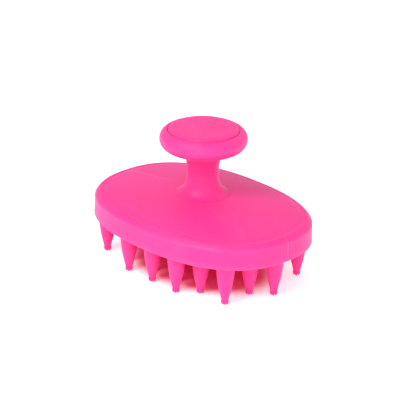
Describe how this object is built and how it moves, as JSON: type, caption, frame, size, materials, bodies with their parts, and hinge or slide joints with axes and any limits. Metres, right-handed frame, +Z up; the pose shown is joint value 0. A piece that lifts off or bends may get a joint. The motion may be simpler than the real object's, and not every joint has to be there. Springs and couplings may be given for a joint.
{
  "type": "scalp massager brush",
  "caption": "Hand-held oval scalp massager: staggered soft tapered fingers under a domed silicone-skinned plate, with a short flared neck and a round mushroom knob.",
  "frame": {"origin": "on the plane of the finger tips, under the centre of the plate and neck", "axes": "+X along the plate's long side, +Y across it, +Z up through the neck and the knob"},
  "size_m": [0.0956, 0.0684, 0.0586],
  "materials": {
    "silicone_skin": "matte moulded silicone",
    "silicone_inlay": "matte moulded silicone with a soft edge",
    "silicone_fingers": "satin moulded silicone",
    "core_plastic": "plain injection moulding",
    "screw_steel": "bright zinc plated"
  },
  "bodies": {
    "handle_and_plate": {"top_cover": "silicone_skin", "brush_pad": "silicone_skin", "core_plate": "core_plastic", "neck_sleeve": "silicone_skin", "knob_core": "core_plastic", "knob_skin": "silicone_skin", "washer": "screw_steel", "knob_screw": "screw_steel", "knob_cap": "silicone_inlay"},
    "finger_r1_1": {"finger_r1_1": "silicone_fingers"},
    "finger_r1_2": {"finger_r1_2": "silicone_fingers"},
    "finger_r1_3": {"finger_r1_3": "silicone_fingers"},
    "finger_r2_1": {"finger_r2_1": "silicone_fingers"},
    "finger_r2_2": {"finger_r2_2": "silicone_fingers"},
    "finger_r2_3": {"finger_r2_3": "silicone_fingers"},
    "finger_r2_4": {"finger_r2_4": "silicone_fingers"},
    "finger_r2_5": {"finger_r2_5": "silicone_fingers"},
    "finger_r2_6": {"finger_r2_6": "silicone_fingers"},
    "finger_r3_1": {"finger_r3_1": "silicone_fingers"},
    "finger_r3_2": {"finger_r3_2": "silicone_fingers"},
    "finger_r3_3": {"finger_r3_3": "silicone_fingers"},
    "finger_r3_4": {"finger_r3_4": "silicone_fingers"},
    "finger_r3_5": {"finger_r3_5": "silicone_fingers"},
    "finger_r4_1": {"finger_r4_1": "silicone_fingers"},
    "finger_r4_2": {"finger_r4_2": "silicone_fingers"},
    "finger_r4_3": {"finger_r4_3": "silicone_fingers"},
    "finger_r4_4": {"finger_r4_4": "silicone_fingers"},
    "finger_r4_5": {"finger_r4_5": "silicone_fingers"},
    "finger_r4_6": {"finger_r4_6": "silicone_fingers"},
    "finger_r5_1": {"finger_r5_1": "silicone_fingers"},
    "finger_r5_2": {"finger_r5_2": "silicone_fingers"},
    "finger_r5_3": {"finger_r5_3": "silicone_fingers"},
    "finger_r5_4": {"finger_r5_4": "silicone_fingers"},
    "finger_r5_5": {"finger_r5_5": "silicone_fingers"},
    "finger_r5_6": {"finger_r5_6": "silicone_fingers"},
    "finger_r5_7": {"finger_r5_7": "silicone_fingers"},
    "finger_r6_1": {"finger_r6_1": "silicone_fingers"},
    "finger_r6_2": {"finger_r6_2": "silicone_fingers"},
    "finger_r6_3": {"finger_r6_3": "silicone_fingers"},
    "finger_r6_4": {"finger_r6_4": "silicone_fingers"},
    "finger_r6_5": {"finger_r6_5": "silicone_fingers"},
    "finger_r6_6": {"finger_r6_6": "silicone_fingers"},
    "finger_r7_1": {"finger_r7_1": "silicone_fingers"},
    "finger_r7_2": {"finger_r7_2": "silicone_fingers"},
    "finger_r7_3": {"finger_r7_3": "silicone_fingers"},
    "finger_r7_4": {"finger_r7_4": "silicone_fingers"},
    "finger_r7_5": {"finger_r7_5": "silicone_fingers"},
    "finger_r8_1": {"finger_r8_1": "silicone_fingers"},
    "finger_r8_2": {"finger_r8_2": "silicone_fingers"},
    "finger_r8_3": {"finger_r8_3": "silicone_fingers"},
    "finger_r8_4": {"finger_r8_4": "silicone_fingers"},
    "finger_r8_5": {"finger_r8_5": "silicone_fingers"},
    "finger_r8_6": {"finger_r8_6": "silicone_fingers"},
    "finger_r9_1": {"finger_r9_1": "silicone_fingers"},
    "finger_r9_2": {"finger_r9_2": "silicone_fingers"},
    "finger_r9_3": {"finger_r9_3": "silicone_fingers"}
  },
  "joints": [
    {"name": "flex_r1_1", "type": "hinge", "parent": "handle_and_plate", "child": "finger_r1_1", "pos_m": [-0.0136, -0.02688, 0.0141], "axis": [1, 0, 0], "range_deg": [-15, 15], "stiffness_Nm_per_rad": 0.02},
    {"name": "flex_r1_2", "type": "hinge", "parent": "handle_and_plate", "child": "finger_r1_2", "pos_m": [0, -0.02688, 0.0141], "axis": [1, 0, 0], "range_deg": [-15, 15], "stiffness_Nm_per_rad": 0.02},
    {"name": "flex_r1_3", "type": "hinge", "parent": "handle_and_plate", "child": "finger_r1_3", "pos_m": [0.0136, -0.02688, 0.0141], "axis": [1, 0, 0], "range_deg": [-15, 15], "stiffness_Nm_per_rad": 0.02},
    {"name": "flex_r2_1", "type": "hinge", "parent": "handle_and_plate", "child": "finger_r2_1", "pos_m": [-0.034, -0.02016, 0.0141], "axis": [1, 0, 0], "range_deg": [-15, 15], "stiffness_Nm_per_rad": 0.02},
    {"name": "flex_r2_2", "type": "hinge", "parent": "handle_and_plate", "child": "finger_r2_2", "pos_m": [-0.0204, -0.02016, 0.0141], "axis": [1, 0, 0], "range_deg": [-15, 15], "stiffness_Nm_per_rad": 0.02},
    {"name": "flex_r2_3", "type": "hinge", "parent": "handle_and_plate", "child": "finger_r2_3", "pos_m": [-0.0068, -0.02016, 0.0141], "axis": [1, 0, 0], "range_deg": [-15, 15], "stiffness_Nm_per_rad": 0.02},
    {"name": "flex_r2_4", "type": "hinge", "parent": "handle_and_plate", "child": "finger_r2_4", "pos_m": [0.0068, -0.02016, 0.0141], "axis": [1, 0, 0], "range_deg": [-15, 15], "stiffness_Nm_per_rad": 0.02},
    {"name": "flex_r2_5", "type": "hinge", "parent": "handle_and_plate", "child": "finger_r2_5", "pos_m": [0.0204, -0.02016, 0.0141], "axis": [1, 0, 0], "range_deg": [-15, 15], "stiffness_Nm_per_rad": 0.02},
    {"name": "flex_r2_6", "type": "hinge", "parent": "handle_and_plate", "child": "finger_r2_6", "pos_m": [0.034, -0.02016, 0.0141], "axis": [1, 0, 0], "range_deg": [-15, 15], "stiffness_Nm_per_rad": 0.02},
    {"name": "flex_r3_1", "type": "hinge", "parent": "handle_and_plate", "child": "finger_r3_1", "pos_m": [-0.0272, -0.01344, 0.0141], "axis": [1, 0, 0], "range_deg": [-15, 15], "stiffness_Nm_per_rad": 0.02},
    {"name": "flex_r3_2", "type": "hinge", "parent": "handle_and_plate", "child": "finger_r3_2", "pos_m": [-0.0136, -0.01344, 0.0141], "axis": [1, 0, 0], "range_deg": [-15, 15], "stiffness_Nm_per_rad": 0.02},
    {"name": "flex_r3_3", "type": "hinge", "parent": "handle_and_plate", "child": "finger_r3_3", "pos_m": [0, -0.01344, 0.0141], "axis": [1, 0, 0], "range_deg": [-15, 15], "stiffness_Nm_per_rad": 0.02},
    {"name": "flex_r3_4", "type": "hinge", "parent": "handle_and_plate", "child": "finger_r3_4", "pos_m": [0.0136, -0.01344, 0.0141], "axis": [1, 0, 0], "range_deg": [-15, 15], "stiffness_Nm_per_rad": 0.02},
    {"name": "flex_r3_5", "type": "hinge", "parent": "handle_and_plate", "child": "finger_r3_5", "pos_m": [0.0272, -0.01344, 0.0141], "axis": [1, 0, 0], "range_deg": [-15, 15], "stiffness_Nm_per_rad": 0.02},
    {"name": "flex_r4_1", "type": "hinge", "parent": "handle_and_plate", "child": "finger_r4_1", "pos_m": [-0.034, -0.00672, 0.0141], "axis": [1, 0, 0], "range_deg": [-15, 15], "stiffness_Nm_per_rad": 0.02},
    {"name": "flex_r4_2", "type": "hinge", "parent": "handle_and_plate", "child": "finger_r4_2", "pos_m": [-0.0204, -0.00672, 0.0141], "axis": [1, 0, 0], "range_deg": [-15, 15], "stiffness_Nm_per_rad": 0.02},
    {"name": "flex_r4_3", "type": "hinge", "parent": "handle_and_plate", "child": "finger_r4_3", "pos_m": [-0.0068, -0.00672, 0.0141], "axis": [1, 0, 0], "range_deg": [-15, 15], "stiffness_Nm_per_rad": 0.02},
    {"name": "flex_r4_4", "type": "hinge", "parent": "handle_and_plate", "child": "finger_r4_4", "pos_m": [0.0068, -0.00672, 0.0141], "axis": [1, 0, 0], "range_deg": [-15, 15], "stiffness_Nm_per_rad": 0.02},
    {"name": "flex_r4_5", "type": "hinge", "parent": "handle_and_plate", "child": "finger_r4_5", "pos_m": [0.0204, -0.00672, 0.0141], "axis": [1, 0, 0], "range_deg": [-15, 15], "stiffness_Nm_per_rad": 0.02},
    {"name": "flex_r4_6", "type": "hinge", "parent": "handle_and_plate", "child": "finger_r4_6", "pos_m": [0.034, -0.00672, 0.0141], "axis": [1, 0, 0], "range_deg": [-15, 15], "stiffness_Nm_per_rad": 0.02},
    {"name": "flex_r5_1", "type": "hinge", "parent": "handle_and_plate", "child": "finger_r5_1", "pos_m": [-0.0408, 0, 0.0141], "axis": [1, 0, 0], "range_deg": [-15, 15], "stiffness_Nm_per_rad": 0.02},
    {"name": "flex_r5_2", "type": "hinge", "parent": "handle_and_plate", "child": "finger_r5_2", "pos_m": [-0.0272, 0, 0.0141], "axis": [1, 0, 0], "range_deg": [-15, 15], "stiffness_Nm_per_rad": 0.02},
    {"name": "flex_r5_3", "type": "hinge", "parent": "handle_and_plate", "child": "finger_r5_3", "pos_m": [-0.0136, 0, 0.0141], "axis": [1, 0, 0], "range_deg": [-15, 15], "stiffness_Nm_per_rad": 0.02},
    {"name": "flex_r5_4", "type": "hinge", "parent": "handle_and_plate", "child": "finger_r5_4", "pos_m": [0, 0, 0.0141], "axis": [1, 0, 0], "range_deg": [-15, 15], "stiffness_Nm_per_rad": 0.02},
    {"name": "flex_r5_5", "type": "hinge", "parent": "handle_and_plate", "child": "finger_r5_5", "pos_m": [0.0136, 0, 0.0141], "axis": [1, 0, 0], "range_deg": [-15, 15], "stiffness_Nm_per_rad": 0.02},
    {"name": "flex_r5_6", "type": "hinge", "parent": "handle_and_plate", "child": "finger_r5_6", "pos_m": [0.0272, 0, 0.0141], "axis": [1, 0, 0], "range_deg": [-15, 15], "stiffness_Nm_per_rad": 0.02},
    {"name": "flex_r5_7", "type": "hinge", "parent": "handle_and_plate", "child": "finger_r5_7", "pos_m": [0.0408, 0, 0.0141], "axis": [1, 0, 0], "range_deg": [-15, 15], "stiffness_Nm_per_rad": 0.02},
    {"name": "flex_r6_1", "type": "hinge", "parent": "handle_and_plate", "child": "finger_r6_1", "pos_m": [-0.034, 0.00672, 0.0141], "axis": [1, 0, 0], "range_deg": [-15, 15], "stiffness_Nm_per_rad": 0.02},
    {"name": "flex_r6_2", "type": "hinge", "parent": "handle_and_plate", "child": "finger_r6_2", "pos_m": [-0.0204, 0.00672, 0.0141], "axis": [1, 0, 0], "range_deg": [-15, 15], "stiffness_Nm_per_rad": 0.02},
    {"name": "flex_r6_3", "type": "hinge", "parent": "handle_and_plate", "child": "finger_r6_3", "pos_m": [-0.0068, 0.00672, 0.0141], "axis": [1, 0, 0], "range_deg": [-15, 15], "stiffness_Nm_per_rad": 0.02},
    {"name": "flex_r6_4", "type": "hinge", "parent": "handle_and_plate", "child": "finger_r6_4", "pos_m": [0.0068, 0.00672, 0.0141], "axis": [1, 0, 0], "range_deg": [-15, 15], "stiffness_Nm_per_rad": 0.02},
    {"name": "flex_r6_5", "type": "hinge", "parent": "handle_and_plate", "child": "finger_r6_5", "pos_m": [0.0204, 0.00672, 0.0141], "axis": [1, 0, 0], "range_deg": [-15, 15], "stiffness_Nm_per_rad": 0.02},
    {"name": "flex_r6_6", "type": "hinge", "parent": "handle_and_plate", "child": "finger_r6_6", "pos_m": [0.034, 0.00672, 0.0141], "axis": [1, 0, 0], "range_deg": [-15, 15], "stiffness_Nm_per_rad": 0.02},
    {"name": "flex_r7_1", "type": "hinge", "parent": "handle_and_plate", "child": "finger_r7_1", "pos_m": [-0.0272, 0.01344, 0.0141], "axis": [1, 0, 0], "range_deg": [-15, 15], "stiffness_Nm_per_rad": 0.02},
    {"name": "flex_r7_2", "type": "hinge", "parent": "handle_and_plate", "child": "finger_r7_2", "pos_m": [-0.0136, 0.01344, 0.0141], "axis": [1, 0, 0], "range_deg": [-15, 15], "stiffness_Nm_per_rad": 0.02},
    {"name": "flex_r7_3", "type": "hinge", "parent": "handle_and_plate", "child": "finger_r7_3", "pos_m": [0, 0.01344, 0.0141], "axis": [1, 0, 0], "range_deg": [-15, 15], "stiffness_Nm_per_rad": 0.02},
    {"name": "flex_r7_4", "type": "hinge", "parent": "handle_and_plate", "child": "finger_r7_4", "pos_m": [0.0136, 0.01344, 0.0141], "axis": [1, 0, 0], "range_deg": [-15, 15], "stiffness_Nm_per_rad": 0.02},
    {"name": "flex_r7_5", "type": "hinge", "parent": "handle_and_plate", "child": "finger_r7_5", "pos_m": [0.0272, 0.01344, 0.0141], "axis": [1, 0, 0], "range_deg": [-15, 15], "stiffness_Nm_per_rad": 0.02},
    {"name": "flex_r8_1", "type": "hinge", "parent": "handle_and_plate", "child": "finger_r8_1", "pos_m": [-0.034, 0.02016, 0.0141], "axis": [1, 0, 0], "range_deg": [-15, 15], "stiffness_Nm_per_rad": 0.02},
    {"name": "flex_r8_2", "type": "hinge", "parent": "handle_and_plate", "child": "finger_r8_2", "pos_m": [-0.0204, 0.02016, 0.0141], "axis": [1, 0, 0], "range_deg": [-15, 15], "stiffness_Nm_per_rad": 0.02},
    {"name": "flex_r8_3", "type": "hinge", "parent": "handle_and_plate", "child": "finger_r8_3", "pos_m": [-0.0068, 0.02016, 0.0141], "axis": [1, 0, 0], "range_deg": [-15, 15], "stiffness_Nm_per_rad": 0.02},
    {"name": "flex_r8_4", "type": "hinge", "parent": "handle_and_plate", "child": "finger_r8_4", "pos_m": [0.0068, 0.02016, 0.0141], "axis": [1, 0, 0], "range_deg": [-15, 15], "stiffness_Nm_per_rad": 0.02},
    {"name": "flex_r8_5", "type": "hinge", "parent": "handle_and_plate", "child": "finger_r8_5", "pos_m": [0.0204, 0.02016, 0.0141], "axis": [1, 0, 0], "range_deg": [-15, 15], "stiffness_Nm_per_rad": 0.02},
    {"name": "flex_r8_6", "type": "hinge", "parent": "handle_and_plate", "child": "finger_r8_6", "pos_m": [0.034, 0.02016, 0.0141], "axis": [1, 0, 0], "range_deg": [-15, 15], "stiffness_Nm_per_rad": 0.02},
    {"name": "flex_r9_1", "type": "hinge", "parent": "handle_and_plate", "child": "finger_r9_1", "pos_m": [-0.0136, 0.02688, 0.0141], "axis": [1, 0, 0], "range_deg": [-15, 15], "stiffness_Nm_per_rad": 0.02},
    {"name": "flex_r9_2", "type": "hinge", "parent": "handle_and_plate", "child": "finger_r9_2", "pos_m": [0, 0.02688, 0.0141], "axis": [1, 0, 0], "range_deg": [-15, 15], "stiffness_Nm_per_rad": 0.02},
    {"name": "flex_r9_3", "type": "hinge", "parent": "handle_and_plate", "child": "finger_r9_3", "pos_m": [0.0136, 0.02688, 0.0141], "axis": [1, 0, 0], "range_deg": [-15, 15], "stiffness_Nm_per_rad": 0.02}
  ]
}
